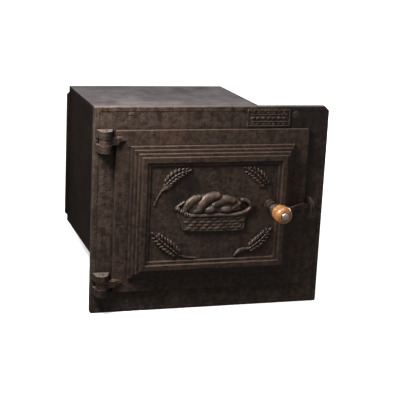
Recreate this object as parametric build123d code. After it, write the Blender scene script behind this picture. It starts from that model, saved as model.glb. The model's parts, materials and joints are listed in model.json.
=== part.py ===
from build123d import *
import os
from math import cos, radians, sin

# Built-in baking oven: a cast-iron front plate with a hinged cast door and a steel oven box behind it.
# Millimetres. +X is to the right seen from the front, +Y goes into the wall, +Z is up.
# The origin is the middle of the plate's bearing rim, where it lies against the wall.

# front plate
plateWidth, plateHeight = 410, 352
plateWeb = 6              # thickness of the flat field
rimDepth, rimWidth = 5, 6     # raised rim on the back, which bears on the wall
borderRaise, borderWidth = 1, 7
faceY = -(rimDepth + plateWeb)        # front of the flat field
frontY = faceY - borderRaise          # front of the raised border
backY = -rimDepth                     # back of the flat field
cornerRadius, bigCorner = 3, 8
plateHoleRadius = 10

# steel oven box
sheet = 3
boxWidth, boxHeight, boxEndY = 318, 278, 443
boxX, boxZ = -1.5, 0.5
boxLeft, boxRight = boxX - boxWidth / 2, boxX + boxWidth / 2
boxBottom, boxTop = boxZ - boxHeight / 2, boxZ + boxHeight / 2
flangeWidth, flangeHeight = 396, 338   # outer size of the turned-out front flange
plateHoleWidth, plateHoleHeight = boxWidth - 21, boxHeight - 21
wingReach, wingDrop = 5, 12            # the back sheet's side wings

# shelf runners
runnerReach, runnerHeight, runnerThick = 12, 14, 2
runnerStart, runnerLength = 14, 400
runnerLevels = {"lower": -48, "upper": 42}
rivetRadius, rivetHeadRadius, rivetHead = 2, 4, 1.6

# screws that hold the box flange to the plate
screwX, screwZ = 143.5, 161.8
screwRadius, screwHeadRadius, screwHeadDepth = 3, 6, 3
screwLength, nutAcross, nutThick = 16, 10, 5
washerRadius, washerThick = 6, 1.5

# hinges
pinX, pinY, pinRadius = -189.5, -26, 4
pinClearance = 0.05
hingeZ = 121.8                         # height of each knuckle's middle, up and down
lugRadius, lugHeight, lugGap = 11, 12.1, 0.35
knuckleRadius, knuckleHeight = 9.5, 10.5
lugBaseLeft, lugBaseRight = -202.3, -173.6
pinEnd = 1.5
setScrewRadius, setScrewLength = 2.5, 7.5

# door casting
doorWidth, doorHeight, doorX, doorZ = 338, 277, -0.5, -0.5
doorBackY, doorFrontY = faceY - 0.3, -18
mouldWidth, mouldHeight, mouldX, mouldZ = 287, 226.5, -1.5, -0.75
mouldSteps, stepRise, stepTread = 4, 5, 5.33
ridgeWidth = 9
ridgeY = doorFrontY - mouldSteps * stepRise
recessDepth, recessSlope = 6, 1.5
shelfDepth, shelfWide = 3, 6
panelY = ridgeY + recessDepth
shelfY = ridgeY + shelfDepth
panelThick = 5

# latch
latchX, latchZ = 98.5, 8.5
spindleRadius, bossRadius = 5, 10.5
armRadius, armThick = 9.5, 6
armBelow, armAbove = 8, 5
armBackY = ridgeY - 2.3
tipX, tipY = 168.9, -24
crankStartX, crankEndX = 132, 158
knobBackY, knobFrontY = -69, -106
latchNutAcross, latchNutThick = 15, 5

# keeper
keeperX, keeperThick, keeperBand = 172.1, 5, 6
keeperTopZ, keeperLegZ, keeperFrontY = 20, -10, -47

# ornament tablet
tabletLeft, tabletRight, tabletBottom, tabletTop, tabletRaise = 55, 134, 140.5, 171.5, 1.6


def save(name, shape):
    """Write one node to parts/ as a STEP file."""
    os.makedirs("parts", exist_ok=True)
    shape.label = name
    export_step(shape, "parts/" + name + ".step")


def slab(x0, x1, y0, y1, z0, z1):
    """A block between two corners."""
    return Pos((x0 + x1) / 2, (y0 + y1) / 2, (z0 + z1) / 2) * Box(x1 - x0, y1 - y0, z1 - z0)


def rod_y(x, z, y0, y1, radius):
    """A round bar along Y."""
    return Pos(x, (y0 + y1) / 2, z) * Rot(90, 0, 0) * Cylinder(radius, y1 - y0)


def rod_z(x, y, z0, z1, radius):
    """A round bar along Z."""
    return Pos(x, y, (z0 + z1) / 2) * Cylinder(radius, z1 - z0)


def frame_sheet(width, height, y):
    """A rectangle facing -Y at depth y, centred on the moulding."""
    return Plane(origin=(mouldX, y, mouldZ), x_dir=(1, 0, 0), z_dir=(0, -1, 0)) * Rectangle(width, height)


def hex_nut(x, z, y0, thick, across, hole):
    """A hexagon nut whose axis runs along Y."""
    side = Plane(origin=(x, y0, z), x_dir=(1, 0, 0), z_dir=(0, -1, 0))
    outline = side * RegularPolygon(across / 2, 6, major_radius=False)
    return extrude(outline, -thick) - rod_y(x, z, y0 - 1, y0 + thick + 1, hole)


def ring_y(x, z, y0, y1, outer, inner):
    """A flat washer whose axis runs along Y."""
    return rod_y(x, z, y0, y1, outer) - rod_y(x, z, y0 - 1, y1 + 1, inner)


def turned_y(x, z, points):
    """A solid of revolution about a line along Y, from (radius, y) points."""
    outline = Polyline(*[(r, y) for r, y in points], close=True)
    solid = revolve(make_face(outline), Axis.Y, 360)
    return Pos(x, 0, z) * solid


def screw_places():
    """The four flange screws' places."""
    return [(sx * screwX, sz * screwZ) for sx in (-1, 1) for sz in (-1, 1)]


def hinge_lug(z0, z1):
    """One cast hinge lug on the plate, without its pin hole."""
    nose = Pos(pinX, pinY, (z0 + z1) / 2) * Cylinder(lugRadius, z1 - z0)
    base = Polyline(
        (lugBaseLeft, faceY + 2),
        (lugBaseLeft, faceY),
        (pinX - lugRadius, pinY),
        (pinX + lugRadius, pinY),
        (lugBaseRight, faceY),
        (lugBaseRight, faceY + 2),
        close=True,
    )
    return nose + Pos(0, 0, z0) * extrude(make_face(base), z1 - z0)


def lug_levels():
    """The height ranges of the four lugs."""
    near = knuckleHeight / 2 + lugGap
    levels = []
    for middle in (-hingeZ, hingeZ):
        levels.append((middle - near - lugHeight, middle - near))
        levels.append((middle + near, middle + near + lugHeight))
    return levels


def front_plate():
    plate = slab(-plateWidth / 2, plateWidth / 2, frontY, 0, -plateHeight / 2, plateHeight / 2)
    corners = plate.edges().filter_by(Axis.Y)
    plate = fillet(corners.filter_by(lambda e: e.center().X < 0 or e.center().Z < 0), cornerRadius)
    top_right = plate.edges().filter_by(Axis.Y).filter_by(lambda e: e.center().X > 204 and e.center().Z > 175)
    plate = chamfer(top_right, bigCorner)
    plate = fillet(plate.faces().sort_by(Axis.Y)[0].edges(), 2)
    plate -= slab(
        -plateWidth / 2 + borderWidth, plateWidth / 2 - borderWidth, frontY - 1, faceY,
        -plateHeight / 2 + borderWidth, plateHeight / 2 - borderWidth,
    )
    pocket = slab(
        -plateWidth / 2 + rimWidth, plateWidth / 2 - rimWidth, backY, 1,
        -plateHeight / 2 + rimWidth, plateHeight / 2 - rimWidth,
    )
    plate -= pocket
    hole = Pos(boxX, faceY, boxZ) * Box(plateHoleWidth, 40, plateHoleHeight)
    plate -= fillet(hole.edges().filter_by(Axis.Y), plateHoleRadius)
    tablet = slab(tabletLeft, tabletRight, faceY - tabletRaise, faceY + 1, tabletBottom, tabletTop)
    tablet = fillet(tablet.edges().filter_by(Axis.Y), 2)
    plate += tablet
    for z0, z1 in lug_levels():
        plate += hinge_lug(z0, z1)
    for z0, z1 in lug_levels():
        plate -= rod_z(pinX, pinY, z0 - 1, z1 + 1, pinRadius)
    for middle in (-hingeZ, hingeZ):
        level = middle + knuckleHeight / 2 + lugGap + lugHeight / 2
        plate -= rod_y(pinX, level, pinY - lugRadius - 1, pinY - pinRadius + 1, setScrewRadius)
    for x, z in screw_places():
        plate -= rod_y(x, z, faceY - 1, backY + 1, screwRadius)
        head = [(0, faceY - 1), (screwHeadRadius, faceY - 1), (screwHeadRadius, faceY)]
        head += [(screwRadius, faceY + screwHeadDepth), (0, faceY + screwHeadDepth)]
        plate -= turned_y(x, z, head)
    plate -= keeper_shank()
    return plate


def flange_screws():
    group = []
    for x, z in screw_places():
        outline = [(0, faceY - 0.6), (screwHeadRadius * 0.6, faceY - 0.5), (screwHeadRadius, faceY)]
        outline += [(screwRadius, faceY + screwHeadDepth), (screwRadius, faceY + screwLength)]
        outline += [(0, faceY + screwLength)]
        screw = turned_y(x, z, outline)
        slot = slab(x - 8, x + 8, faceY - 2, faceY + 0.6, z - 0.7, z + 0.7)
        group.append(screw - slot)
    return Compound(group)


def flange_washers():
    y0 = backY + sheet
    return Compound([ring_y(x, z, y0, y0 + washerThick, washerRadius, screwRadius) for x, z in screw_places()])


def flange_nuts():
    y0 = backY + sheet + washerThick
    return Compound([hex_nut(x, z, y0, nutThick, nutAcross, screwRadius) for x, z in screw_places()])


def flange_drill(shape):
    for x, z in screw_places():
        shape -= rod_y(x, z, backY - 1, backY + sheet + 1, screwRadius)
    return shape


def top_wall():
    wall_sheet = slab(boxLeft, boxRight, backY, boxEndY - sheet, boxTop - sheet, boxTop)
    flange = slab(-flangeWidth / 2, flangeWidth / 2, backY, backY + sheet, boxTop - sheet, flangeHeight / 2)
    return flange_drill(wall_sheet + flange)


def bottom_wall():
    wall_sheet = slab(boxLeft, boxRight, backY, boxEndY - sheet, boxBottom, boxBottom + sheet)
    flange = slab(-flangeWidth / 2, flangeWidth / 2, backY, backY + sheet, -flangeHeight / 2, boxBottom + sheet)
    return flange_drill(wall_sheet + flange)


def side_wall(side):
    """The left (-1) or right (+1) wall with its turned-out flange and its rivet holes."""
    outer = boxX + side * boxWidth / 2
    inner = outer - side * sheet
    z0, z1 = boxBottom + sheet, boxTop - sheet
    wall_sheet = slab(min(outer, inner), max(outer, inner), backY, boxEndY - sheet, z0, z1)
    edge = side * flangeWidth / 2
    wall_sheet += slab(min(edge, inner), max(edge, inner), backY, backY + sheet, z0, z1)
    if side > 0:
        wall_sheet -= keeper_shank()
    for y, z in rivet_places():
        wall_sheet -= Pos(outer, y, z) * Rot(0, 90, 0) * Cylinder(rivetRadius, 20)
    return wall_sheet


def back_wall():
    """The back sheet: it covers the box's end, and a narrow wing stands out at each side."""
    sheet_back = slab(boxLeft, boxRight, boxEndY - sheet, boxEndY, boxBottom, boxTop)
    for side in (-1, 1):
        outer = boxX + side * (boxWidth / 2 + wingReach)
        inner = boxX + side * (boxWidth / 2 - 1)
        wing = slab(
            min(outer, inner), max(outer, inner), boxEndY - sheet, boxEndY,
            boxBottom + wingDrop, boxTop - wingDrop,
        )
        tips = wing.edges().filter_by(Axis.Y).filter_by(lambda e: abs(e.center().X - outer) < 0.1)
        sheet_back += chamfer(tips, wingReach - 0.5)
    return sheet_back


def rivet_places():
    return [(y, z - runnerHeight / 2 + 1) for z in runnerLevels.values() for y in (50, 214, 378)]


def runner(side, level):
    """An angle strip: one leg on the wall, one leg reaching into the oven."""
    face = boxX + side * (boxWidth / 2 - sheet)
    inner = face - side * runnerThick
    reach = face - side * runnerReach
    y0, y1 = runnerStart, runnerStart + runnerLength
    strip = slab(min(face, inner), max(face, inner), y0, y1, level - runnerHeight, level)
    strip += slab(min(face, reach), max(face, reach), y0, y1, level - runnerThick, level)
    for y, z in rivet_places():
        if abs(z - level) < runnerHeight:
            strip -= Pos(face, y, z) * Rot(0, 90, 0) * Cylinder(rivetRadius, 20)
    return strip


def runner_rivets(side):
    """Six rivets through a side wall and its two runners, domed on the runner and filed flush outside."""
    outer = boxX + side * boxWidth / 2
    inner = boxX + side * (boxWidth / 2 - sheet - runnerThick)
    group = []
    for y, z in rivet_places():
        outline = [(0, outer), (rivetRadius, outer), (rivetRadius, inner), (rivetHeadRadius, inner)]
        outline += [(rivetHeadRadius * 0.7, inner - side * rivetHead * 0.7), (0, inner - side * rivetHead)]
        turned = revolve(make_face(Polyline(*outline, close=True)), Axis.Y, 360)
        group.append(Pos(0, y, z) * Rot(0, 0, -90) * turned)
    return Compound(group)


def hinge_pin(middle):
    half = knuckleHeight / 2 + lugGap + lugHeight + pinEnd
    pin = rod_z(pinX, pinY, middle - half, middle + half, pinRadius)
    return chamfer(pin.edges(), 1)


def set_screw(middle):
    level = middle + knuckleHeight / 2 + lugGap + lugHeight / 2
    y1 = pinY - pinRadius
    screw = rod_y(pinX, level, y1 - setScrewLength, y1, setScrewRadius)
    screw -= slab(pinX - 5, pinX + 5, y1 - setScrewLength - 1, y1 - setScrewLength + 1, level - 0.5, level + 0.5)
    return screw - rod_z(pinX, pinY, level - 10, level + 10, pinRadius)


def door_strap(middle):
    """A knuckle round the pin, with a strap that tapers out over the door's front."""
    strap = rod_z(pinX, pinY, middle - knuckleHeight / 2, middle + knuckleHeight / 2, knuckleRadius)
    neck = Polyline(
        (pinX, pinY - knuckleRadius),
        (-172, doorFrontY - 8),
        (-165, doorFrontY - 6),
        (-165, doorBackY),
        (-170, doorBackY),
        (-176, doorBackY - 2),
        (pinX, pinY + knuckleRadius),
        close=True,
    )
    neck_bar = extrude(make_face(neck), knuckleHeight)
    strap += Pos(0, 0, middle - knuckleHeight / 2) * neck_bar
    left = doorX - doorWidth / 2
    side = Plane(origin=(0, doorFrontY + 1, middle), x_dir=(1, 0, 0), z_dir=(0, -1, 0))
    foot = side * make_face(Polyline((left, -8), (left + 14, -6), (left + 20, 0), (left + 14, 6), (left, 8), close=True))
    crown = Plane(origin=(0, doorFrontY - 8, middle), x_dir=(1, 0, 0), z_dir=(0, -1, 0))
    top = crown * make_face(Polyline((left, -5), (left + 2, -5), (left + 4, 0), (left + 2, 5), (left, 5), close=True))
    return strap + loft([foot, top])


def door():
    left, right = doorX - doorWidth / 2, doorX + doorWidth / 2
    bottom, top = doorZ - doorHeight / 2, doorZ + doorHeight / 2
    casting = slab(left, right, doorFrontY, doorBackY, bottom, top)
    casting = fillet(casting.edges().filter_by(Axis.Y), 2)
    casting = fillet(casting.faces().sort_by(Axis.Y)[0].edges(), 1.2)
    for step in range(mouldSteps):
        inset = step * stepTread
        width, height = mouldWidth - 2 * inset, mouldHeight - 2 * inset
        y1 = doorFrontY - step * stepRise
        layer = slab(
            mouldX - width / 2, mouldX + width / 2, y1 - stepRise, y1 + 2,
            mouldZ - height / 2, mouldZ + height / 2,
        )
        casting += fillet(layer.faces().sort_by(Axis.Y)[0].edges(), 1.6)
    inset = (mouldSteps - 1) * stepTread + ridgeWidth
    inner_width, inner_height = mouldWidth - 2 * inset, mouldHeight - 2 * inset
    for depth, start, width, height in (
        (shelfY, ridgeY, inner_width, inner_height),
        (panelY, shelfY, inner_width - 2 * shelfWide, inner_height - 2 * shelfWide),
    ):
        mouth = frame_sheet(width, height, start - 0.01)
        floor = frame_sheet(width - 2 * recessSlope, height - 2 * recessSlope, depth)
        casting -= loft([floor, mouth])
    hollow_mouth = frame_sheet(mouldWidth - 2, mouldHeight - 2, doorBackY + 0.01)
    hollow_floor = frame_sheet(mouldWidth - 30, mouldHeight - 30, panelY + panelThick)
    casting -= loft([hollow_floor, hollow_mouth])
    casting += rod_y(latchX, latchZ, panelY - 4, panelY + panelThick + 5, bossRadius)
    for middle in (-hingeZ, hingeZ):
        casting += door_strap(middle)
    for middle in (-hingeZ, hingeZ):
        casting -= rod_z(pinX, pinY, middle - 10, middle + 10, pinRadius + pinClearance)
    casting -= rod_y(latchX, latchZ, -60, 0, spindleRadius + pinClearance)
    return casting


def thrust_washer():
    return ring_y(latchX, latchZ, armBackY + 0.01, panelY - 4.2, armRadius - 1, spindleRadius)


def latch_spindle():
    outline = [(0, knobFrontY + 4), (spindleRadius - 1, knobFrontY + 4), (spindleRadius - 1, knobBackY)]
    outline += [(spindleRadius, knobBackY), (spindleRadius, panelY + panelThick + 13)]
    outline += [(0, panelY + panelThick + 13)]
    return turned_y(latchX, latchZ, outline)


def latch_arm():
    """A cranked bar: a boss on the spindle, over the moulding, then down to the keeper's depth."""
    boss = rod_y(latchX, latchZ, armBackY - armThick - 3, armBackY, armRadius)
    path = Polyline(
        (latchX, armBackY),
        (crankStartX, armBackY),
        (crankEndX, tipY),
        (tipX, tipY),
        (tipX, tipY - armThick),
        (crankEndX - 2, tipY - armThick),
        (crankStartX + 2, armBackY - armThick),
        (latchX, armBackY - armThick),
        close=True,
    )
    bar = Pos(0, 0, latchZ - armBelow) * extrude(make_face(path), armBelow + armAbove)
    dog_leg = Polyline(
        (latchX, -5), (latchX, 5), (latchX + 12, 4), (latchX + 34, -1.5), (tipX - 2, 0.5),
        (tipX, -1.5), (tipX, -5), (tipX - 2, -7), (latchX + 34, -8), close=True,
    )
    taper = Plane(origin=(0, 0, latchZ), x_dir=(1, 0, 0), z_dir=(0, -1, 0)) * make_face(dog_leg)
    bar &= extrude(taper, 100)
    arm = boss + bar
    return arm - rod_y(latchX, latchZ, -80, 0, spindleRadius)


def knob_ferrule():
    y0 = armBackY - armThick - 3
    outline = [(spindleRadius, y0), (spindleRadius + 2, y0), (spindleRadius + 2.5, knobBackY + 5)]
    outline += [(11.5, knobBackY + 3), (12.5, knobBackY), (spindleRadius, knobBackY)]
    return turned_y(latchX, latchZ, outline)


def knob():
    """A turned wooden knob: a rear bead, a cove and a larger front bead."""
    hole = spindleRadius - 1
    with BuildPart() as turned:
        with BuildSketch(Plane.XY):
            with BuildLine():
                back = Line((hole, knobBackY), (11, knobBackY))
                bead = Spline((11, knobBackY), (14.6, knobBackY - 7), (12.2, knobBackY - 13.5))
                cove = Spline((12.2, knobBackY - 13.5), (12.0, knobBackY - 16), (13.2, knobBackY - 18))
                front = Spline((13.2, knobBackY - 18), (15.3, knobBackY - 25), (12.6, knobBackY - 33), (8, knobFrontY))
                Polyline((8, knobFrontY), (hole, knobFrontY), (hole, knobBackY))
            make_face()
        revolve(axis=Axis.Y)
    return Pos(latchX, 0, latchZ) * turned.part


def dome_nut():
    outline = [(0, knobFrontY - 4), (3, knobFrontY - 3.5), (5, knobFrontY - 2), (6.3, knobFrontY)]
    outline += [(spindleRadius - 1, knobFrontY), (spindleRadius - 1, knobFrontY + 4), (0, knobFrontY + 4)]
    return turned_y(latchX, latchZ, outline)


def latch_washer():
    y0 = panelY + panelThick + 5.2
    return ring_y(latchX, latchZ, y0, y0 + 1.5, 10, spindleRadius)


def latch_nut():
    return hex_nut(latchX, latchZ, panelY + panelThick + 6.7, latchNutThick, latchNutAcross, spindleRadius)


def keeper_shank():
    """The keeper's round shank through the plate."""
    return rod_y(keeperX, latchZ + 1, faceY - 1, 8, 2.5)


def keeper():
    """A hook that stands out of the plate, turns over and comes down in front of the latch's tip."""
    outer = keeperFrontY
    inner = outer + keeperBand
    radius = (faceY - outer) / 2
    middle = (faceY + outer) / 2
    side = Plane(origin=(keeperX + keeperThick / 2, 0, 0), x_dir=(0, 1, 0), z_dir=(1, 0, 0))
    crown = keeperTopZ - 15
    with BuildSketch(side) as profile:
        with BuildLine():
            Line((outer, keeperLegZ), (outer, crown))
            ThreePointArc((outer, crown), (middle, keeperTopZ), (faceY, crown))
            Line((faceY, crown), (faceY, -2))
            Line((faceY, -2), (faceY - keeperBand, 0))
            Line((faceY - keeperBand, 0), (faceY - keeperBand, crown))
            ThreePointArc((faceY - keeperBand, crown), (middle, keeperTopZ - keeperBand), (inner, crown))
            Line((inner, crown), (inner + 1.5, keeperLegZ))
            Line((inner + 1.5, keeperLegZ), (outer, keeperLegZ))
        make_face()
    hook = extrude(profile.sketch, -keeperThick)
    hook += rod_y(keeperX, latchZ + 1, faceY - 1, 6, 2.5)
    return hook


def keeper_nut():
    return hex_nut(keeperX, latchZ + 1, backY + sheet, 4, 8, 2.5)


save("front_plate", front_plate())
save("flange_screws", flange_screws())
save("flange_washers", flange_washers())
save("flange_nuts", flange_nuts())
save("top_wall", top_wall())
save("bottom_wall", bottom_wall())
save("left_wall", side_wall(-1))
save("right_wall", side_wall(1))
save("back_wall", back_wall())
for sideName, side in (("left", -1), ("right", 1)):
    for levelName, level in runnerLevels.items():
        save(sideName + "_" + levelName + "_runner", runner(side, level))
    save(sideName + "_runner_rivets", runner_rivets(side))
save("upper_hinge_pin", hinge_pin(hingeZ))
save("lower_hinge_pin", hinge_pin(-hingeZ))
save("upper_set_screw", set_screw(hingeZ))
save("lower_set_screw", set_screw(-hingeZ))
save("door", door())
save("thrust_washer", thrust_washer())
save("latch_spindle", latch_spindle())
save("latch_arm", latch_arm())
save("knob_ferrule", knob_ferrule())
save("knob", knob())
save("dome_nut", dome_nut())
save("latch_washer", latch_washer())
save("latch_nut", latch_nut())
save("keeper", keeper())
save("keeper_nut", keeper_nut())
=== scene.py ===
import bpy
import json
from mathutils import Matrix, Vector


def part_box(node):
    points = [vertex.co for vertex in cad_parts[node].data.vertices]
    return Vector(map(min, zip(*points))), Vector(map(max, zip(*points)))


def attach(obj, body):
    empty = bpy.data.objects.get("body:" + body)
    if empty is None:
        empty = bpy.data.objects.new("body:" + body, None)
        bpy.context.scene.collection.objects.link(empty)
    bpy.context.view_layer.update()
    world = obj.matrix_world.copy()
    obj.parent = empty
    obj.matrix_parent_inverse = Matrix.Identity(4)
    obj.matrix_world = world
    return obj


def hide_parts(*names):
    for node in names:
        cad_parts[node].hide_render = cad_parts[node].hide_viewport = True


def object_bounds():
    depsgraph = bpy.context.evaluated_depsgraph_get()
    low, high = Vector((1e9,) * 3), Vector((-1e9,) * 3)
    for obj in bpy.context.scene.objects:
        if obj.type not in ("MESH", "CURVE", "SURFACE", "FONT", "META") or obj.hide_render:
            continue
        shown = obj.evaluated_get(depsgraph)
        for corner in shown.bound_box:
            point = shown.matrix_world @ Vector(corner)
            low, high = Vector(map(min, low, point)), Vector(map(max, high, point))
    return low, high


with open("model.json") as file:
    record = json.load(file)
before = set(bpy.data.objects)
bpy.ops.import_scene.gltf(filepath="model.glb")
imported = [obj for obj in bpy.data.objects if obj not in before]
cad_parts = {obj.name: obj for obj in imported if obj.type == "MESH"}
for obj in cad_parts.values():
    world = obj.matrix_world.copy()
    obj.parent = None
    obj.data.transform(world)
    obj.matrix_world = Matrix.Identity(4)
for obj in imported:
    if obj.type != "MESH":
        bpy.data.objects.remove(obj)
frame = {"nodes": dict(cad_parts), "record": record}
cadBox = [list(corner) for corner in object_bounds()]

import json
import math

import bmesh
import bpy
import numpy as np
from mathutils import Matrix, Vector

mm = 0.001
nodes = frame["nodes"]


def addNode(tree, kind, sockets=None, **options):
    # one call adds a node, sets or links its sockets and sets its options
    node = tree.nodes.new(kind)
    for name, value in options.items():
        setattr(node, name, value)
    for name, value in (sockets or {}).items():
        socket = node.inputs[name]
        if isinstance(value, bpy.types.NodeSocket):
            tree.links.new(value, socket)
        else:
            socket.default_value = value
    return node


def mathNode(tree, operation, first, second=0.0, clamp=False):
    node = addNode(tree, "ShaderNodeMath", {0: first, 1: second}, operation=operation, use_clamp=clamp)
    return node.outputs[0]


def times(tree, first, second, clamp=False):
    return mathNode(tree, "MULTIPLY", first, second, clamp)


def plus(tree, first, second, clamp=False):
    return mathNode(tree, "ADD", first, second, clamp)


def mapValue(tree, value, fromMin, fromMax, toMin=0.0, toMax=1.0):
    sockets = {"Value": value, "From Min": fromMin, "From Max": fromMax, "To Min": toMin, "To Max": toMax}
    return addNode(tree, "ShaderNodeMapRange", sockets).outputs["Result"]


def mixColour(tree, factor, first, second):
    node = addNode(tree, "ShaderNodeMix", data_type="RGBA")
    colourSockets = {0: factor, 6: first, 7: second}
    for index, value in colourSockets.items():
        if isinstance(value, bpy.types.NodeSocket):
            tree.links.new(value, node.inputs[index])
        else:
            node.inputs[index].default_value = value if index == 0 else (*value, 1.0)
    return node.outputs[2]


def objectPlace(tree):
    return addNode(tree, "ShaderNodeTexCoord").outputs["Object"]


def stretched(tree, place, scale):
    return addNode(tree, "ShaderNodeMapping", {"Vector": place, "Scale": scale}).outputs["Vector"]


def noise(tree, place, scale, detail=2.0, roughness=0.5, distortion=0.0):
    sockets = {
        "Vector": place, "Scale": scale, "Detail": detail, "Roughness": roughness, "Distortion": distortion}
    return addNode(tree, "ShaderNodeTexNoise", sockets).outputs["Fac"]


def axisOf(tree, vector, axis):
    return addNode(tree, "ShaderNodeSeparateXYZ", {0: vector}).outputs[axis]


def addBump(tree, shader, height, strength, depth):
    bump = addNode(tree, "ShaderNodeBump", {"Height": height, "Strength": strength, "Distance": depth})
    tree.links.new(bump.outputs["Normal"], shader.inputs["Normal"])


def newGroup(name, inputs, outputs):
    tree = bpy.data.node_groups.new(name, "ShaderNodeTree")
    for socketName, default in inputs.items():
        socket = tree.interface.new_socket(socketName, in_out="INPUT", socket_type="NodeSocketFloat")
        socket.default_value = default
    for socketName in outputs:
        tree.interface.new_socket(socketName, in_out="OUTPUT", socket_type="NodeSocketFloat")
    return tree, tree.nodes.new("NodeGroupInput"), tree.nodes.new("NodeGroupOutput")


def useGroup(tree, group, **values):
    node = tree.nodes.new("ShaderNodeGroup")
    node.node_tree = group
    for name, value in values.items():
        node.inputs[name].default_value = value
    return node


def buildCastGrain():
    # sand-cast skin: fine grain, soft lumps, scattered pits and a bloom of rust
    tree, given, out = newGroup(
        "castGrain", {"grainScale": 650.0, "pitAmount": 0.5, "sand": 0.5}, ["height", "mottle", "rust"])
    place = objectPlace(tree)
    fine = noise(tree, place, given.outputs["grainScale"], 5.0, 0.62)
    sand = noise(tree, place, 330.0, 3.0, 0.55)
    lumps = noise(tree, place, 130.0, 5.0, 0.55)
    cells = addNode(tree, "ShaderNodeTexVoronoi", {"Vector": place, "Scale": 260.0, "Randomness": 1.0})
    pitShape = mapValue(tree, cells.outputs["Distance"], 0.05, 0.3, 1.0, 0.0)
    pitPlaces = mapValue(tree, noise(tree, place, 42.0, 2.0), 0.52, 0.66)
    pits = times(tree, times(tree, pitShape, pitPlaces), given.outputs["pitAmount"])
    height = times(tree, fine, 0.4)
    height = plus(tree, height, times(tree, sand, given.outputs["sand"]))
    height = plus(tree, height, times(tree, lumps, 0.9))
    height = mathNode(tree, "SUBTRACT", height, times(tree, pits, 0.6))
    mottle = mapValue(tree, noise(tree, place, 52.0, 7.0, 0.7, 0.3), 0.3, 0.7, 0.25, 0.75)
    streaks = noise(tree, stretched(tree, place, (1.0, 1.0, 0.16)), 140.0, 5.0, 0.6)
    streaky = mapValue(tree, streaks, 0.35, 0.65, -0.22, 0.22)
    specks = mapValue(tree, lumps, 0.35, 0.65, -0.42, 0.42)
    mottle = plus(tree, mottle, plus(tree, streaky, specks), clamp=True)
    rust = mapValue(tree, noise(tree, place, 12.0, 9.0, 0.75, 0.5), 0.52, 0.72, 0.0, 0.55)
    tree.links.new(height, out.inputs["height"])
    tree.links.new(mottle, out.inputs["mottle"])
    tree.links.new(rust, out.inputs["rust"])
    return tree


def buildEdgesAndCornerShade():
    # outer edges broken up by noise, for rubbed wear and, on the keeper, painted highlight; and painted
    # shade in inner corners from ambient occlusion
    tree, given, out = newGroup("edgesAndCornerShade", {"reach": 0.0016, "corner": 0.006}, ["wornAndHighlight", "creviceShadeMask"])
    outer = addNode(
        tree, "ShaderNodeAmbientOcclusion", {"Distance": given.outputs["reach"]},
        inside=True, only_local=True, samples=8)
    inner = addNode(tree, "ShaderNodeAmbientOcclusion", {"Distance": given.outputs["corner"]}, samples=8)
    broken = mapValue(tree, noise(tree, objectPlace(tree), 130.0, 5.0), 0.3, 0.62)
    edge = mapValue(tree, outer.outputs["AO"], 0.75, 0.2)
    tree.links.new(times(tree, edge, broken, clamp=True), out.inputs["wornAndHighlight"])
    # painted shade: the more an inner corner is occluded, the stronger this mask
    tree.links.new(mapValue(tree, inner.outputs["AO"], 0.95, 0.35), out.inputs["creviceShadeMask"])
    return tree


def buildUpwardDustAndLight():
    # dust and light rust on faces which look up, and painted light: these faces are coloured lighter, as if
    # lit from above
    tree, given, out = newGroup("upwardDustAndLight", {"amount": 1.0}, ["mask"])
    normal = addNode(tree, "ShaderNodeNewGeometry").outputs["Normal"]
    facing = mapValue(tree, axisOf(tree, normal, "Z"), 0.35, 0.95)
    patchy = mapValue(tree, noise(tree, objectPlace(tree), 26.0, 6.0, 0.6), 0.25, 0.7, 0.45, 1.0)
    mask = times(tree, times(tree, facing, patchy), given.outputs["amount"], clamp=True)
    tree.links.new(mask, out.inputs["mask"])
    return tree


castGrain = buildCastGrain()
edgesAndCornerShade = buildEdgesAndCornerShade()
upwardDustAndLight = buildUpwardDustAndLight()
print("shared effects ready")


def startMaterial(name):
    material = bpy.data.materials.new(name)
    material.use_nodes = True
    tree = material.node_tree
    shader = tree.nodes["Principled BSDF"]
    return material, tree, shader


def sootAndShadePatch(tree, middle, reach, strength):
    # a soft round dark patch about a point in mm, pulled out of round by noise, for soot stains and for
    # painted shade
    place = objectPlace(tree)
    point = [coordinate * mm for coordinate in middle]
    away = addNode(tree, "ShaderNodeVectorMath", {0: place, 1: point}, operation="DISTANCE")
    ragged = mathNode(tree, "SUBTRACT", noise(tree, place, 30.0, 5.0, 0.6), 0.5)
    distance = plus(tree, away.outputs["Value"], times(tree, ragged, reach * mm * 1.6))
    return mapValue(tree, distance, reach * mm, reach * mm * 0.35, 0.0, strength)


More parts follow.
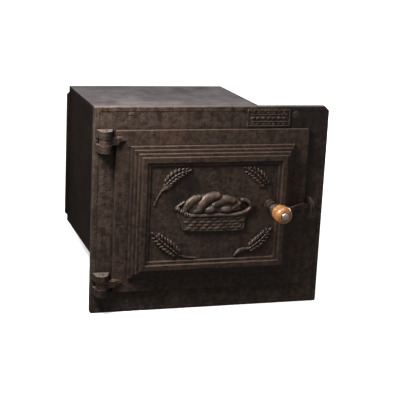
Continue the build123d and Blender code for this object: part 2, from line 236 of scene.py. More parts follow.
def makeIron(name, changes):
    # stove-polished cast iron, from the base settings and this part's own
    settings = {**ironBase, **changes}
    material, tree, shader = startMaterial(name)
    grain = useGroup(
        tree, castGrain, grainScale=settings["grainScale"], pitAmount=settings["pits"],
        sand=settings["sand"])
    wearAndHighlight = useGroup(tree, edgesAndCornerShade, reach=settings["wearAndHighlightReach"], corner=settings["creviceShadeReach"])
    dustAndTopLight = useGroup(tree, upwardDustAndLight, amount=settings["dustAndTopLight"])
    mottle = grain.outputs["mottle"]
    dustAndTopLightMask = dustAndTopLight.outputs["mask"]
    depth = axisOf(tree, objectPlace(tree), "Y")
    rubbedAndHighlight = times(tree, wearAndHighlight.outputs["wornAndHighlight"], settings["wearAndHighlight"], clamp=True)
    if "highY" in settings:  # a casting's high spots, handled until they shine
        high = mapValue(tree, depth, *settings["highY"], 0.0, settings["highRub"])
        uneven = mapValue(tree, mottle, 0.2, 0.8, 0.5, 1.0)
        rubbedAndHighlight = plus(tree, rubbedAndHighlight, times(tree, high, uneven), clamp=True)
    colour = mixColour(tree, mottle, settings["dark"], settings["brown"])
    colour = mixColour(tree, grain.outputs["rust"], colour, settings["rustColour"])
    for middle, reach, strength in settings["stains"]:
        colour = mixColour(tree, sootAndShadePatch(tree, middle, reach, strength), colour, settings["sootAndShadeColour"])
    if "proudY" in settings:  # painted shade: what stands out of the face is coloured darker
        proud = mapValue(tree, depth, *settings["proudY"], 0.0, settings["proud"])
        colour = mixColour(tree, proud, colour, settings["sootAndShadeColour"])
    # dust and painted light: faces which look up take a lighter colour
    colour = mixColour(tree, dustAndTopLightMask, colour, settings["dustAndTopLightColour"])
    # rubbed edges take a lighter colour: wear, and on the keeper painted highlight
    colour = mixColour(tree, rubbedAndHighlight, colour, settings["wornAndHighlight"])
    # painted shade: inner corners and recesses are coloured towards near black
    creviceShade = times(tree, wearAndHighlight.outputs["creviceShadeMask"], settings["creviceShade"], clamp=True)
    colour = mixColour(tree, creviceShade, colour, settings["sootAndShadeColour"])
    tree.links.new(colour, shader.inputs["Base Color"])
    rough = settings["rough"]
    roughness = mapValue(tree, mottle, 0.0, 1.0, rough, rough + settings["roughSpread"])
    roughness = mathNode(tree, "SUBTRACT", roughness, times(tree, rubbedAndHighlight, settings["rubPolish"]))
    roughness = plus(tree, roughness, times(tree, dustAndTopLightMask, settings["dustRough"]))
    tree.links.new(roughness, shader.inputs["Roughness"])
    metal = plus(tree, settings["metal"], times(tree, rubbedAndHighlight, settings["rubMetal"]), clamp=True)
    tree.links.new(metal, shader.inputs["Metallic"])
    addBump(tree, shader, grain.outputs["height"], settings["bump"], settings["bumpDepth"])
    shader.inputs["Specular IOR Level"].default_value = settings["gloss"]
    return material


ironBase = dict(
    grainScale=650.0, pits=0.7, sand=0.9, bump=0.95, bumpDepth=1.1 * mm,
    dark=(0.018, 0.0118, 0.0090), brown=(0.058, 0.0395, 0.0305), rustColour=(0.068, 0.036, 0.023),
    dustAndTopLight=0.55, dustAndTopLightColour=(0.112, 0.072, 0.054), stains=[],
    wearAndHighlight=0.75, wearAndHighlightReach=1.8 * mm, wornAndHighlight=(0.26, 0.2, 0.165),
    # painted shade in crevices: its strength and reach; the dark colour serves soot stains and painted
    # shade
    creviceShade=0.8, creviceShadeReach=7 * mm, sootAndShadeColour=(0.006, 0.0045, 0.004),
    rough=0.46, roughSpread=0.14, rubPolish=0.1, dustRough=0.12, metal=0.2, rubMetal=0.25, gloss=0.3,
)
plateIron = makeIron("plateIron", dict(
    dustAndTopLight=0.75, dustAndTopLightColour=(0.15, 0.122, 0.11),
    # painted shade: the wide patch darkens the top-right corner, where the light falls off; the smaller one
    # darkens the plate low on the left
    stains=[((200, -12, 170), 150, 0.7), ((-150, -12, -160), 60, 0.35)],
    # painted shade: the parts standing out of the plate's face, the hinge lugs among them, are coloured
    # darker
    proudY=(-15 * mm, -21 * mm), proud=0.5))
doorIron = makeIron("doorIron", dict(
    dark=(0.0165, 0.0105, 0.0078), brown=(0.052, 0.0335, 0.025), pits=0.5,
    wearAndHighlight=0.9, creviceShade=0.6, creviceShadeReach=4.5 * mm,
    stains=[((-40, -32, 48), 30, 0.72), ((-66, -32, 22), 30, 0.6), ((96, -32, 64), 26, 0.3)]))
reliefIron = makeIron("reliefIron", dict(
    wearAndHighlight=1.0, wearAndHighlightReach=2.2 * mm, creviceShade=0.85, creviceShadeReach=4 * mm, pits=0.15, sand=0.3, bump=0.3,
    rough=0.36, dustAndTopLight=0.5, highY=(-34.0 * mm, -42 * mm), highRub=0.2))
tabletIron = makeIron("tabletIron", dict(wearAndHighlight=1.0, wearAndHighlightReach=1.2 * mm, creviceShadeReach=3 * mm))
latchIron = makeIron("latchIron", dict(grainScale=900.0, pits=0.1, rough=0.4, metal=0.5))
# painted highlight: strong narrow edge wear lightens the keeper's edges, against a face coloured darker
# than the other iron
keeperIron = makeIron("keeperIron", dict(
    dark=(0.008, 0.006, 0.005), brown=(0.022, 0.015, 0.012), pits=0.1, dustAndTopLight=0.2,
    wearAndHighlight=1.2, wearAndHighlightReach=1.3 * mm))
washerIron = makeIron("washerIron", dict(
    dark=(0.01, 0.007, 0.006), brown=(0.026, 0.018, 0.014), pits=0.1, dustAndTopLight=0.2, wearAndHighlight=0.4))
screwIron = makeIron("screwIron", dict(wearAndHighlight=0.15, pits=0.2))
hingeSteel = makeIron("hingeSteel", dict(
    dark=(0.05, 0.042, 0.038), brown=(0.12, 0.1, 0.088), metal=0.8, rough=0.34, bump=0.2))
fastenerSteel = makeIron("fastenerSteel", dict(
    dark=(0.028, 0.02, 0.016), brown=(0.07, 0.05, 0.04), metal=0.6, rough=0.42, bump=0.25))
print("iron ready")


def makeSheet(name, changes):
    # heat-proof coated sheet steel, dusty on top, with painted light: its top is coloured far lighter than
    # its dark sides, as if lit from above
    settings = {**sheetBase, **changes}
    material, tree, shader = startMaterial(name)
    place = objectPlace(tree)
    wearAndHighlight = useGroup(tree, edgesAndCornerShade, reach=settings["wearAndHighlightReach"], corner=settings["creviceShadeReach"])
    dustAndTopLight = useGroup(tree, upwardDustAndLight, amount=settings["dustAndTopLight"])
    clouds = noise(tree, place, settings["cloudScale"], 8.0, 0.62)
    along = stretched(tree, place, settings["streakStretch"])
    streaks = noise(tree, along, settings["streakScale"], 6.0, 0.7)
    colour = mixColour(tree, mapValue(tree, clouds, 0.35, 0.65), settings["dark"], settings["light"])
    wiped = times(tree, mapValue(tree, streaks, 0.3, 0.7), settings["streakShare"])
    cloudy = times(tree, mapValue(tree, clouds, 0.33, 0.67), 1.0 - settings["streakShare"])
    dustyLitTop = mixColour(tree, plus(tree, wiped, cloudy), settings["dustAndTopLightDark"], settings["dustAndTopLightBright"])
    colour = mixColour(tree, dustAndTopLight.outputs["mask"], colour, dustyLitTop)
    rubbedAndHighlight = times(tree, wearAndHighlight.outputs["wornAndHighlight"], settings["wearAndHighlight"], clamp=True)
    colour = mixColour(tree, rubbedAndHighlight, colour, settings["wornAndHighlight"])
    tree.links.new(colour, shader.inputs["Base Color"])
    rough = settings["rough"]
    roughness = mapValue(tree, streaks, 0.25, 0.75, rough, rough + settings["roughSpread"])
    tree.links.new(roughness, shader.inputs["Roughness"])
    shader.inputs["Specular IOR Level"].default_value = settings["gloss"]
    height = plus(tree, times(tree, noise(tree, place, 420.0, 3.0), 0.3), clouds)
    addBump(tree, shader, height, settings["bump"], settings["bumpDepth"])
    return material


sheetBase = dict(
    dark=(0.007, 0.0043, 0.003), light=(0.014, 0.0087, 0.006), cloudScale=7.0,
    # the top's colours, dust and painted light, far lighter than the sides
    dustAndTopLight=1.0, dustAndTopLightDark=(0.072, 0.061, 0.064), dustAndTopLightBright=(0.19, 0.174, 0.184),
    streakScale=30.0, streakStretch=(3.0, 0.5, 1.5), streakShare=0.3,
    wearAndHighlight=0.8, wearAndHighlightReach=1.2 * mm, wornAndHighlight=(0.3, 0.27, 0.26), creviceShadeReach=12 * mm,
    rough=0.58, roughSpread=0.2, gloss=0.07, bump=0.25, bumpDepth=0.8 * mm,
)
ovenSheet = makeSheet("ovenSheet", {})
insideSheet = makeSheet("insideSheet", dict(dustAndTopLight=0.22))
paintedRivet = makeSheet("paintedRivet", dict(dustAndTopLight=0.1))
runnerSteel = makeSheet("runnerSteel", dict(
    dustAndTopLight=0.3, dark=(0.03, 0.027, 0.025), light=(0.06, 0.052, 0.048)))
print("sheet ready")

knobWoodLook = dict(
    dark=(0.2, 0.075, 0.02), light=(0.4, 0.19, 0.065), broad=(0.28, 0.11, 0.028),
    # dark colour and amount of the painted shade in the knob's coves
    fleck=(0.1, 0.036, 0.012), knobCreviceShade=(0.13, 0.04, 0.014), knobCreviceShadeAmount=0.8,
    grain=(1.0, 0.16, 1.0), rough=(0.34, 0.46), varnish=0.6, varnishRough=0.18,
    bump=0.12, bumpDepth=0.3 * mm,
)


def makeKnobWood():
    # turned beech under clear varnish: rings across the axis, short dark flecks
    material, tree, shader = startMaterial("knobWood")
    look = knobWoodLook
    place = objectPlace(tree)
    along = stretched(tree, place, look["grain"])
    rings = noise(tree, along, 210.0, 5.0, 0.55, 0.6)
    flecks = mapValue(tree, noise(tree, along, 1500.0), 0.62, 0.72, 0.0, 0.55)
    broad = mapValue(tree, noise(tree, place, 55.0), 0.35, 0.7, 0.0, 0.5)
    colour = mixColour(tree, mapValue(tree, rings, 0.35, 0.66), look["dark"], look["light"])
    colour = mixColour(tree, broad, colour, look["broad"])
    colour = mixColour(tree, flecks, colour, look["fleck"])
    wearAndHighlight = useGroup(tree, edgesAndCornerShade, reach=1 * mm, corner=6 * mm)
    # painted shade: the knob's coves and crevices are coloured darker
    knobCreviceShade = times(tree, wearAndHighlight.outputs["creviceShadeMask"], look["knobCreviceShadeAmount"], clamp=True)
    colour = mixColour(tree, knobCreviceShade, colour, look["knobCreviceShade"])
    tree.links.new(colour, shader.inputs["Base Color"])
    tree.links.new(mapValue(tree, rings, 0.3, 0.7, *look["rough"]), shader.inputs["Roughness"])
    shader.inputs["Coat Weight"].default_value = look["varnish"]
    shader.inputs["Coat Roughness"].default_value = look["varnishRough"]
    addBump(tree, shader, rings, look["bump"], look["bumpDepth"])
    return material


def makeBrightMetal(name, colour, tarnish, rough):
    # turned metal with stains and hairline marks
    material, tree, shader = startMaterial(name)
    place = objectPlace(tree)
    stains = noise(tree, place, 240.0, 5.0, 0.6)
    lines = addNode(
        tree, "ShaderNodeTexWave", {"Vector": place, "Scale": 900.0, "Distortion": 2.0},
        wave_type="BANDS", bands_direction="Y")
    mixed = mixColour(tree, mapValue(tree, stains, 0.42, 0.68), colour, tarnish)
    tree.links.new(mixed, shader.inputs["Base Color"])
    roughness = mapValue(tree, stains, 0.35, 0.7, rough, rough + 0.16)
    tree.links.new(roughness, shader.inputs["Roughness"])
    shader.inputs["Metallic"].default_value = 1.0
    addBump(tree, shader, lines.outputs["Fac"], 0.08, 0.1 * mm)
    return material


knobWood = makeKnobWood()
domeMetal = makeBrightMetal("domeMetal", (0.66, 0.58, 0.6), (0.42, 0.35, 0.34), 0.3)
ferruleMetal = makeBrightMetal("ferruleMetal", (0.36, 0.3, 0.28), (0.15, 0.115, 0.1), 0.4)
print("wood and bright metal ready")

slotFinish = {
    "plate_iron": plateIron, "door_iron": doorIron, "oven_sheet": ovenSheet, "runner_steel": runnerSteel,
    "fastener_steel": fastenerSteel, "hinge_steel": hingeSteel, "latch_iron": latchIron,
    "knob_wood": knobWood, "bright_metal": domeMetal, "ferrule_metal": ferruleMetal,
}
ownFinish = {  # nodes that look different from the rest of their slot
    "bottom_wall": insideSheet, "flange_screws": screwIron, "keeper": keeperIron,
    "thrust_washer": washerIron, "left_runner_rivets": paintedRivet, "right_runner_rivets": paintedRivet,
}
slotOfNode = {entry["node"]: entry["material_slot"] for entry in frame["record"]["subparts"]}
for nodeName, nodeObject in nodes.items():
    finish = ownFinish.get(nodeName, slotFinish[slotOfNode[nodeName]])
    nodeObject.data.materials.clear()
    nodeObject.data.materials.append(finish)
print("materials on", len(nodes), "frame parts")


class Relief:
    # a height field in mm over the door's or plate's face, built as a closed piece
    def __init__(self, left, right, bottom, top, pitch):
        self.us = np.arange(left, right + pitch, pitch)
        self.vs = np.arange(bottom, top + pitch, pitch)
        self.u, self.v = np.meshgrid(self.us, self.vs)
        self.height = np.full(self.u.shape, -1.0)

    def blend(self, layer, softness=0.7):
        # smooth maximum, like a casting's soft inner corners
        mixed = np.clip(0.5 + 0.5 * (layer - self.height) / softness, 0.0, 1.0)
        self.height = self.height * (1 - mixed) + layer * mixed + softness * mixed * (1 - mixed)

    def distanceTo(self, points):
        # distance to a polyline, and how far along it (0 to 1) the nearest point is
        best = np.full(self.u.shape, 1e9)
        along = np.zeros(self.u.shape)
        lengths = [math.dist(a, b) for a, b in zip(points, points[1:])]
        total, passed = sum(lengths), 0.0
        for (a, b), length in zip(zip(points, points[1:]), lengths):
            du, dv = b[0] - a[0], b[1] - a[1]
            t = np.clip(((self.u - a[0]) * du + (self.v - a[1]) * dv) / (length * length), 0, 1)
            d = np.hypot(self.u - a[0] - t * du, self.v - a[1] - t * dv)
            nearer = d < best
            best = np.where(nearer, d, best)
            along = np.where(nearer, (passed + t * length) / total, along)
            passed += length
        return best, along

    def strand(self, points, radius, rise, base=0.0, taper=0.0, softness=0.7):
        # a rounded roll of dough, rim or stalk; taper thins both ends
        d, t = self.distanceTo(smoothPath(points))
        width = radius * (1 - taper * np.abs(2 * t - 1) ** 2.5)
        bulge = np.clip(1 - (d / width) ** 2, 0, None) ** 0.5
        self.blend(np.where(d > width, -1.0, base + rise * bulge), softness)

    def grain(self, u, v, length, width, turn, rise, base=0.0, softness=0.4):
        # one seed, lump or cane crossing: half an ellipsoid, turned by an angle
        c, s = math.cos(turn), math.sin(turn)
        a = ((self.u - u) * c + (self.v - v) * s) / (length / 2)
        b = (-(self.u - u) * s + (self.v - v) * c) / (width / 2)
        r = a * a + b * b
        self.blend(np.where(r < 1, base + rise * np.clip(1 - r, 0, None) ** 0.5, -1.0), softness)

    def area(self, outline, rise, edge):
        # a raised flat area inside a polygon, with a rounded edge
        inside = np.zeros(self.u.shape, bool)
        for (ua, va), (ub, vb) in zip(outline, outline[1:] + outline[:1]):
            crosses = (va > self.v) != (vb > self.v)
            cut = (ub - ua) * (self.v - va) / ((vb - va) or 1e-9) + ua
            inside ^= crosses & (self.u < cut)
        d, _ = self.distanceTo(outline + outline[:1])
        depth = np.where(inside, np.clip(d / edge, 0, 1), 0.0)
        self.blend(np.where(inside, rise * np.sqrt(depth * (2 - depth)), -1.0), 0.5)

    def build(self, name, centre, faceY, body, material):
        # keeps the raised cells, sinks their rim under the face and closes the back
        raised = self.height > reliefDepth["least"]
        keep = closeDiagonals(raised[:-1, :-1] | raised[1:, :-1] | raised[:-1, 1:] | raised[1:, 1:])
        used = np.zeros(raised.shape, bool)
        used[:-1, :-1] |= keep
        used[1:, :-1] |= keep
        used[:-1, 1:] |= keep
        used[1:, 1:] |= keep
        index = np.full(raised.shape, -1)
        index[used] = np.arange(used.sum())
        lift = np.where(raised, self.height, -reliefDepth["rim"])
        front = np.column_stack([self.u[used], -lift[used], self.v[used]])
        back = np.column_stack([self.u[used], np.full(used.sum(), reliefDepth["back"]), self.v[used]])
        rows, cols = np.nonzero(keep)
        quads = np.column_stack([
            index[rows, cols], index[rows, cols + 1], index[rows + 1, cols + 1], index[rows + 1, cols]])
        count = used.sum()
        mesh = bpy.data.meshes.new(name)
        faces = quads.tolist() + (quads[:, ::-1] + count).tolist()
        faces += sideWalls(keep, index, count)
        points = np.vstack([front, back]) * mm
        points += np.array([centre[0] * mm, faceY * mm, centre[1] * mm])
        mesh.from_pydata(points.tolist(), [], faces)
        mesh.validate()
        mesh.polygons.foreach_set("use_smooth", [True] * len(mesh.polygons))
        piece = bpy.data.objects.new(name, mesh)
        bpy.context.collection.objects.link(piece)
        piece.data.materials.append(material)
        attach(piece, body)
        return piece


reliefDepth = dict(least=0.05, rim=0.25, back=0.7)  # least height kept; how far rim and back sink in


def closeDiagonals(keep):
    # fills a cell wherever two kept cells meet only at a corner, so the mesh stays one closed skin
    while True:
        rising = keep[:-1, :-1] & keep[1:, 1:] & ~keep[:-1, 1:] & ~keep[1:, :-1]
        falling = ~keep[:-1, :-1] & ~keep[1:, 1:] & keep[:-1, 1:] & keep[1:, :-1]
        if not (rising | falling).any():
            return keep
        keep[:-1, 1:] |= rising
        keep[:-1, :-1] |= falling


def sideWalls(keep, index, count):
    # quads that join the front to the back along the kept area's boundary
    walls = []
    rows, cols = keep.shape
    padded = np.pad(keep, 1)
    sides = [  # the neighbour's step, then the shared edge's two corners
        ((-1, 0), (0, 0), (0, 1)), ((1, 0), (1, 1), (1, 0)),
        ((0, -1), (1, 0), (0, 0)), ((0, 1), (0, 1), (1, 1))]
    for (dr, dc), (r0, c0), (r1, c1) in sides:
        exposed = keep & ~padded[1 + dr:1 + dr + rows, 1 + dc:1 + dc + cols]
        for r, c in zip(*np.nonzero(exposed)):
            a, b = int(index[r + r0, c + c0]), int(index[r + r1, c + c1])
            walls.append([b, a, a + count, b + count])
    return walls


def curvePoint(t, a, b, c, d):
    # one coordinate of a Catmull-Rom span from b to c
    bend = (2 * a - 5 * b + 4 * c - d) * t ** 2
    twist = (3 * b - a - 3 * c + d) * t ** 3
    return 0.5 * (2 * b + (c - a) * t + bend + twist)


def smoothPath(points, steps=8):
    # a Catmull-Rom line through the points
    if len(points) < 3:
        return points
    ends = [points[0]] + list(points) + [points[-1]]
    line = []
    for p0, p1, p2, p3 in zip(ends, ends[1:], ends[2:], ends[3:]):
        for step in range(steps):
            t = step / steps
            line.append(tuple(curvePoint(t, *four) for four in zip(p0, p1, p2, p3)))
    return line + [points[-1]]


# the door's recessed panel in mm: its middle, its face and how far relief may reach from the middle
panel = dict(centre=(-1.5, -1.75), faceY=-32.0, halfWidth=110, halfHeight=79)

basket = dict(
    area=(-74, 72, -36, 46), pitch=0.42, wallRise=4.4, wallEdge=3.0,
    rows=[-7.6, -13.0, -18.4, -23.8], rowEnds=(-57.5, 58), rowInset=2.5, endGap=0.3,
    canes=8, caneFill=0.94, caneHeight=5.4, caneTilt=0.06, caneSink=0.4, rowRise=1.7,
    sag=1.6, sagMiddle=3, sagHalf=60, twists=8, twist=(8.4, 3.6, 1.2, 3.4, 4.0),
    wall=[
        (-65, 8), (-60, -8), (-51.5, -26), (-36, -28), (6, -29.5), (47, -28.5), (55, -18), (62, 0), (60, 4),
        (44, -1), (0, -2), (-41, -2), (-52, 3)],
    leftRim=[(-66.2, 10.5), (-60, 6.4), (-53, 2.6), (-46, -0.8), (-40, -2.8)],
    frontRim=[
        (-42, -2.6), (-19, -2.8), (3.4, -2.4), (26, -3.4), (43.7, -1.6), (57, 2.4), (64.2, 9.6),
        (62.3, 16.5), (56.5, 20.5), (49, 22.4)],
    backRim=[(-66.2, 10.5), (-61, 15), (-53, 20)],
    leftBand=[(-65.8, 9), (-60.5, -7), (-52.5, -26)],
    foot=[(-52.5, -26), (-36, -28), (6, -29.5), (47, -28.6), (54, -20)],
)
loaf = dict(
    body=[(-56, 4), (-44, 22), (-24, 32), (2, 34), (30, 29), (46, 20), (50, 4), (30, -1), (-40, -2)],
    bodyRise=4.5, bodyEdge=7,
    rolls=[  # the plait's strands, back to front: path, half width and rise
        ([(-53, 4.5), (-46, 14), (-38, 22.5), (-27, 27.5)], 7.8, 6.4),
        ([(-27.5, 6.5), (-20.5, 18), (-9.5, 26.5), (5, 30.5)], 9.6, 8.6),
        ([(-2, 13.5), (8, 19), (20, 23), (33, 21)], 8.6, 7.8),
        ([(33, 8), (45, 16.5)], 4.8, 5.6),
    ],
    lumps=[(-31, 4.4, 19, 13, 0.25, 6.4), (-7.5, 6.8, 23, 16, 0.3, 9.4), (21, 6.6, 26, 15, -0.05, 8.6)],
)


def weaveRow(relief, rowNumber, level):
    # one row of cane crossings, offset by half a cane on every other row
    inset = basket["rowInset"] * rowNumber
    left, right = basket["rowEnds"][0] + inset, basket["rowEnds"][1] - inset
    pitch = (right - left) / basket["canes"]
    shift = 0.5 if rowNumber % 2 else 0.0
    endGap = basket["endGap"] * pitch
    for cane in range(basket["canes"] + 1):
        middle = left + (cane + shift) * pitch
        if left + endGap < middle < right - endGap:
            sag = -basket["sag"] * (1 - ((middle - basket["sagMiddle"]) / basket["sagHalf"]) ** 2)
            relief.grain(
                middle, level + sag, pitch * basket["caneFill"], basket["caneHeight"], basket["caneTilt"],
                basket["rowRise"], basket["wallRise"] - basket["caneSink"], 0.25)


def makeBasket():
    relief = Relief(*basket["area"], basket["pitch"])
    relief.area(loaf["body"], loaf["bodyRise"], loaf["bodyEdge"])
    relief.strand(basket["backRim"], 2.6, 3.6)
    for points, radius, rise in loaf["rolls"]:
        relief.strand(points, radius, rise, taper=0.3, softness=0.4)
    for u, v, length, width, turn, rise in loaf["lumps"]:
        relief.grain(u, v, length, width, turn, rise, softness=0.4)
    relief.area(basket["wall"], basket["wallRise"], basket["wallEdge"])
    for rowNumber, level in enumerate(basket["rows"]):
        weaveRow(relief, rowNumber, level)
    relief.strand(basket["foot"], 1.8, 2.4, base=2.4)
    relief.strand(basket["leftBand"], 2.2, 3.4, base=1.6)
    relief.strand(basket["frontRim"], 3.3, 3.6, base=3.6)
    relief.strand(basket["leftRim"], 2.7, 2.4, base=3.0)
    leftPath = smoothPath(basket["leftRim"])
    last = len(leftPath) - 1
    for twist in range(basket["twists"]):  # the bound cord of the rim's left end
        u, v = leftPath[min(last, int(twist / (basket["twists"] - 1) * last))]
        relief.grain(u, v, *basket["twist"], 0.2)
    relief.build("breadBasket", panel["centre"], panel["faceY"], "door", reliefIron)


wheat = dict(
    pitch=0.36, margin=15, stagger=1.5, stalkRadius=1.5, stalkRise=2.3,
    spacing=6.6, rise=4.2, bodyRadius=5.6, bodyRise=1.2,
    ears={  # ear and stalk paths run from the stalk's foot to the ear's tip
        "wheatTopLeft": dict(
            stalk=[(-104.2, 16.9), (-98.2, 30.6), (-90.6, 43.4), (-86, 50.6)],
            ear=[(-86, 50.6), (-75.8, 61.5), (-63.1, 69.6), (-50, 73.5)],
            leaf=[(-91, 41.5), (-83, 46), (-74, 50.5)], spread=0.55, seed=(10.6, 5.8), width=5.8),
        "wheatTopRight": dict(
            stalk=[(109, 18), (100.5, 33), (91.7, 47)],
            ear=[(91.7, 47), (80.6, 59), (68.5, 69), (56.5, 75)],
            leaf=[(90, 44.5), (84, 45.5), (78.5, 49)], spread=0.6, seed=(11.4, 6.0), width=6.8),
        "wheatBottomLeft": dict(
            stalk=[(-30, -77), (-47, -75), (-60, -70)],
            ear=[(-60, -70), (-74, -58.5), (-87.7, -47.2), (-98, -38)],
            leaf=None, spread=0.68, seed=(11.8, 6.0), width=6.8),
        "wheatBottomRight": dict(
            stalk=[(56, -68), (66, -64.5)],
            ear=[(66, -64.5), (77.7, -56.4), (89.3, -46.6), (98.5, -36.5)],
            leaf=[(66, -64.5), (52, -67.5), (39.5, -76)], spread=0.55, seed=(11.0, 5.8), width=6.2),
    },
)


def pathPoints(points, spacing):
    # places evenly spaced along a smooth line, each with its heading
    line = smoothPath(points, steps=20)
    places, passed, due = [], 0.0, spacing * 0.5
    for a, b in zip(line, line[1:]):
        length = math.dist(a, b)
        while passed + length >= due:
            t = (due - passed) / length
            heading = math.atan2(b[1] - a[1], b[0] - a[0])
            places.append((a[0] + t * (b[0] - a[0]), a[1] + t * (b[1] - a[1]), heading))
            due += spacing
        passed += length
    return places


def makeWheat(name, ear):
    everyPoint = ear["ear"] + ear["stalk"] + (ear["leaf"] or [])
    us, vs = zip(*everyPoint)
    margin = wheat["margin"]
    left, right = max(min(us) - margin, -panel["halfWidth"]), min(max(us) + margin, panel["halfWidth"])
    bottom, top = max(min(vs) - margin, -panel["halfHeight"]), min(max(vs) + margin, panel["halfHeight"])
    relief = Relief(left, right, bottom, top, wheat["pitch"])
    relief.strand(ear["stalk"], wheat["stalkRadius"], wheat["stalkRise"])
    relief.strand(ear["ear"], wheat["bodyRadius"], wheat["bodyRise"], taper=0.4)
    if ear["leaf"]:
        relief.strand(ear["leaf"], 4.2, 3.2, taper=0.95)
        relief.strand(ear["leaf"], 0.5, 0.4, base=2.4, softness=0.2)
    places = pathPoints(ear["ear"], wheat["spacing"])
    length, width = ear["seed"]
    rise = wheat["rise"]
    for number, (u, v, heading) in enumerate(places):
        along, across = math.cos(heading), math.sin(heading)
        fraction = number / max(1, len(places) - 1)
        size = 1.08 - 0.3 * abs(2 * fraction - 0.8) ** 1.5  # plumpest a little below the middle
        for side in (-1, 1):
            slip = wheat["stagger"] * side
            out = side * ear["width"] * size
            relief.grain(
                u + slip * along - out * across, v + slip * across + out * along,
                length * size, width * size, heading + side * ear["spread"], rise * size, 0.0, 0.2)
        relief.grain(u, v, length * 0.8 * size, width * 0.8 * size, heading, rise * 0.9 * size, 0.7, 0.2)
    u, v, heading = places[-1]
    tipU, tipV = u + length * 0.6 * math.cos(heading), v + length * 0.6 * math.sin(heading)
    relief.grain(tipU, tipV, length * 0.9, width * 0.8, heading, rise * 0.8, 0.0, 0.2)
    relief.build(name, panel["centre"], panel["faceY"], "door", reliefIron)


makeBasket()
for earName, ear in wheat["ears"].items():
    makeWheat(earName, ear)
print("door relief ready")

tablet = dict(  # the raised tablet's edges and face in mm
    left=55, right=134, bottom=140.5, top=171.5, faceY=-12.6, pitch=0.35, margin=0.6,
    rise=1.1, frameInset=2.2, frameRadius=0.9, ruleInset=5, ruleLevel=6.2, ruleRadius=0.8,
    lozenges=7, lozengeHeight=5.2, beadLevel=10, bead=(4.2, 2.6),
)


def makeTablet():
    # a plain ornament: a frame round a row of lozenges, with two rules and two rows of beads
    width, height = tablet["right"] - tablet["left"], tablet["top"] - tablet["bottom"]
    rise, inset = tablet["rise"], tablet["ruleInset"]
    reachU, reachV = width / 2 - tablet["margin"], height / 2 - tablet["margin"]
    relief = Relief(-reachU, reachU, -reachV, reachV, tablet["pitch"])
    halfW, halfH = width / 2 - tablet["frameInset"], height / 2 - tablet["frameInset"]
    frameLine = [(-halfW, -halfH), (halfW, -halfH), (halfW, halfH), (-halfW, halfH), (-halfW, -halfH)]
    for start, end in zip(frameLine, frameLine[1:]):
        relief.strand([start, end], tablet["frameRadius"], rise, softness=0.25)
    for level in (-tablet["ruleLevel"], tablet["ruleLevel"]):
        rule = [(-halfW + inset, level), (halfW - inset, level)]
        relief.strand(rule, tablet["ruleRadius"], rise * 0.9, softness=0.25)
    spacing = (2 * halfW - 2 * inset) / tablet["lozenges"]
    for place in range(tablet["lozenges"]):
        u = -halfW + inset + (place + 0.5) * spacing
        relief.grain(u, 0, spacing * 0.9, tablet["lozengeHeight"], 0.0, rise * 1.3, softness=0.25)
        for level in (-tablet["beadLevel"], tablet["beadLevel"]):
            relief.grain(u, level, *tablet["bead"], 0.0, rise * 1.1, softness=0.25)
    centre = ((tablet["left"] + tablet["right"]) / 2, (tablet["bottom"] + tablet["top"]) / 2)
    relief.build("tabletOrnament", centre, tablet["faceY"], "oven", tabletIron)


makeTablet()
print("tablet ready")


def turnPiece(name, profile, centre, body, material, replaced, segments=72):
    # spins a (radius, y) profile round a line along Y, closed at both ends on the axis
    mesh = bpy.data.meshes.new(name)
    shape = bmesh.new()
    rings = []
    for radius, y in profile:
        if radius < 1e-6:
            rings.append([shape.verts.new((centre[0], y, centre[1]))])
            continue
        ring = []
        for step in range(segments):
            angle = 2 * math.pi * step / segments
            x, z = centre[0] + radius * math.cos(angle), centre[1] + radius * math.sin(angle)
            ring.append(shape.verts.new((x, y, z)))
        rings.append(ring)
    for first, second in zip(rings, rings[1:]):
        for step in range(segments):
            after = (step + 1) % segments
            if len(first) == 1:
                shape.faces.new((first[0], second[step], second[after]))
            elif len(second) == 1:
                shape.faces.new((first[after], first[step], second[0]))
            else:
                shape.faces.new((first[after], first[step], second[step], second[after]))
    bmesh.ops.recalc_face_normals(shape, faces=shape.faces[:])
    shape.to_mesh(mesh)
    shape.free()
    mesh.polygons.foreach_set("use_smooth", [True] * len(mesh.polygons))
    piece = bpy.data.objects.new(name, mesh)
    bpy.context.collection.objects.link(piece)
    piece.data.materials.append(material)
    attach(piece, body)
    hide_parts(replaced)
    return piece


knobLow, knobHigh = (Vector(corner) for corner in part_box("knob"))
knobAxis = ((knobLow.x + knobHigh.x) / 2, (knobLow.z + knobHigh.z) / 2)
knobShape = dict(  # radius and distance from the knob's back in mm, back to front
    outline=[
        (4.2, 0.0), (8.4, 0.0), (9.0, 1.4), (9.6, 3.6), (10.6, 6.0), (12.3, 8.2), (13.7, 10.8),
        (14.3, 13.8), (14.0, 16.6), (13.1, 18.6), (12.7, 19.6), (13.3, 20.8), (14.5, 23.0), (15.2, 25.8),
        (15.1, 28.4), (14.2, 31.2), (12.6, 33.6), (10.4, 35.5), (8.4, 36.5), (7.4, 36.8), (7.0, 36.4),
        (4.2, 36.2)],
    steps=4,
)
domeShape = dict(stem=0.6, rim=0.6 * mm, gap=0.2 * mm, fullness=0.98, steps=12)


def makeKnob():
    backY = knobHigh.y
    smooth = smoothPath(knobShape["outline"], steps=knobShape["steps"])
    profile = [(radius * mm, backY - y * mm) for radius, y in smooth]
    profile = [(0.0, profile[0][1])] + profile + [(0.0, profile[-1][1])]
    turnPiece("turnedKnob", profile, knobAxis, "latch", knobWood, "knob")


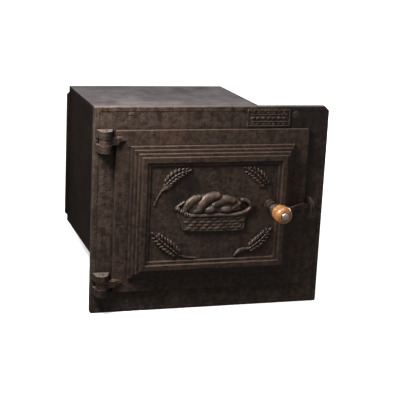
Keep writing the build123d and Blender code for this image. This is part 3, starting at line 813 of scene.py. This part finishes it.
def makeDome():
    # a domed cap on a stem that sits inside the knob
    low, high = (Vector(corner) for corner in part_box("dome_nut"))
    radius = (high.x - low.x) / 2
    stemRadius = domeShape["stem"] * radius
    rimY = knobLow.y - domeShape["rim"]
    depth = (knobLow.y - low.y) - domeShape["gap"] - domeShape["rim"]
    profile = [(0.0, high.y), (stemRadius, high.y), (stemRadius, knobLow.y)]
    profile += [(radius, knobLow.y), (radius, rimY)]
    for step in range(1, domeShape["steps"] + 1):
        angle = math.pi / 2 * step / domeShape["steps"]
        profile.append((radius * math.cos(angle) * domeShape["fullness"], rimY - depth * math.sin(angle)))
    profile[-1] = (0.0, profile[-1][1])
    turnPiece("domeCap", profile, knobAxis, "latch", domeMetal, "dome_nut", segments=48)


makeKnob()
makeDome()
print("knob ready")


floorLook = dict(  # a lit sweep, so the floor reads white under a low light
    reach=40.0, light=(0.93, 0.93, 0.93), dark=(0.9, 0.9, 0.9), hazeScale=0.7,
    rough=0.9, gloss=0.1, glow=0.6,
)


def makeStudio():
    floorZ, reach = cadBox[0][2], floorLook["reach"]
    mesh = bpy.data.meshes.new("studioFloor")
    corners = [(x * reach, y * reach, floorZ) for x, y in ((-1, -1), (1, -1), (1, 1), (-1, 1))]
    mesh.from_pydata(corners, [], [(0, 1, 2, 3)])
    floor = bpy.data.objects.new("studioFloor", mesh)
    bpy.context.collection.objects.link(floor)
    material, tree, shader = startMaterial("paleFloor")
    haze = noise(tree, objectPlace(tree), floorLook["hazeScale"])
    colour = mixColour(tree, haze, floorLook["dark"], floorLook["light"])
    tree.links.new(colour, shader.inputs["Base Color"])
    shader.inputs["Roughness"].default_value = floorLook["rough"]
    shader.inputs["Specular IOR Level"].default_value = floorLook["gloss"]
    shader.inputs["Emission Color"].default_value = (1.0, 1.0, 1.0, 1.0)
    shader.inputs["Emission Strength"].default_value = floorLook["glow"]
    floor.data.materials.append(material)
    floor.visible_glossy = False  # its light is kept off the dark iron
    floor.visible_diffuse = False


def addLight(name, place, target, size, power, colour):
    data = bpy.data.lights.new(name, "AREA")
    data.shape = "RECTANGLE"
    data.size, data.size_y = size
    data.energy = power
    data.color = colour
    lamp = bpy.data.objects.new(name, data)
    lamp.location = place
    lamp.rotation_euler = (Vector(target) - Vector(place)).to_track_quat("-Z", "Y").to_euler()
    bpy.context.collection.objects.link(lamp)


lights = dict(
    window=dict(
        place=(-0.43, -0.21, 0.52), target=(-0.08, 0.0, -0.02), size=(0.3, 0.22), power=12.0,
        colour=(1.0, 0.94, 0.88)),
    rear=dict(
        place=(1.9, 1.7, 0.7), target=(0.0, 0.3, 0.0), size=(1.0, 0.8), power=34.0,
        colour=(1.0, 0.98, 0.96)),
    lowFill=dict(
        place=(1.3, -2.2, 0.25), target=(0.05, 0.0, -0.08), size=(0.9, 0.7), power=2.6,
        colour=(1.0, 0.95, 0.9)),
)
roomLight = dict(onObject=0.19, behindFloor=1.0)
sky = dict(direction=(0.08, 0.2, -1.0), strength=1.25, softness=42.0, colour=(1.0, 0.985, 0.98))
view = dict(
    place=(-0.5767, -1.7530, 0.4799), right=(0.95506, -0.29256, 0.04771), up=(0.02787, 0.24887, 0.96814),
    lens=100.47, sensor=36.0, near=0.05, far=200.0,
)


def makeCamera():
    data = bpy.data.cameras.new("mainCamera")
    data.sensor_width = view["sensor"]
    data.lens = view["lens"]
    data.clip_start, data.clip_end = view["near"], view["far"]
    camera = bpy.data.objects.new("mainCamera", data)
    right, up = Vector(view["right"]), Vector(view["up"])
    back = right.cross(up)
    turn = Matrix((right, up, back)).transposed().to_4x4()
    camera.matrix_world = Matrix.Translation(view["place"]) @ turn
    bpy.context.collection.objects.link(camera)
    bpy.context.scene.camera = camera


def addSky():
    # one broad soft light from above and a little in front
    data = bpy.data.lights.new("sky", "SUN")
    data.energy = sky["strength"]
    data.angle = math.radians(sky["softness"])
    data.color = sky["colour"]
    lamp = bpy.data.objects.new("sky", data)
    lamp.rotation_euler = Vector(sky["direction"]).to_track_quat("-Z", "Y").to_euler()
    bpy.context.collection.objects.link(lamp)


def makeWorld():
    # a dim even room for the object, a white one behind the floor's edge
    world = bpy.data.worlds.new("studioWorld")
    world.use_nodes = True
    tree = world.node_tree
    seen = addNode(tree, "ShaderNodeLightPath").outputs["Is Camera Ray"]
    strength = mapValue(tree, seen, 0.0, 1.0, roomLight["onObject"], roomLight["behindFloor"])
    background = tree.nodes["Background"]
    background.inputs["Color"].default_value = (1.0, 1.0, 1.0, 1.0)
    tree.links.new(strength, background.inputs["Strength"])
    bpy.context.scene.world = world


makeStudio()
addSky()
for lightName, light in lights.items():
    addLight(lightName, **light)
makeWorld()
bpy.context.scene.view_settings.view_transform = "Standard"
makeCamera()
print("studio ready")
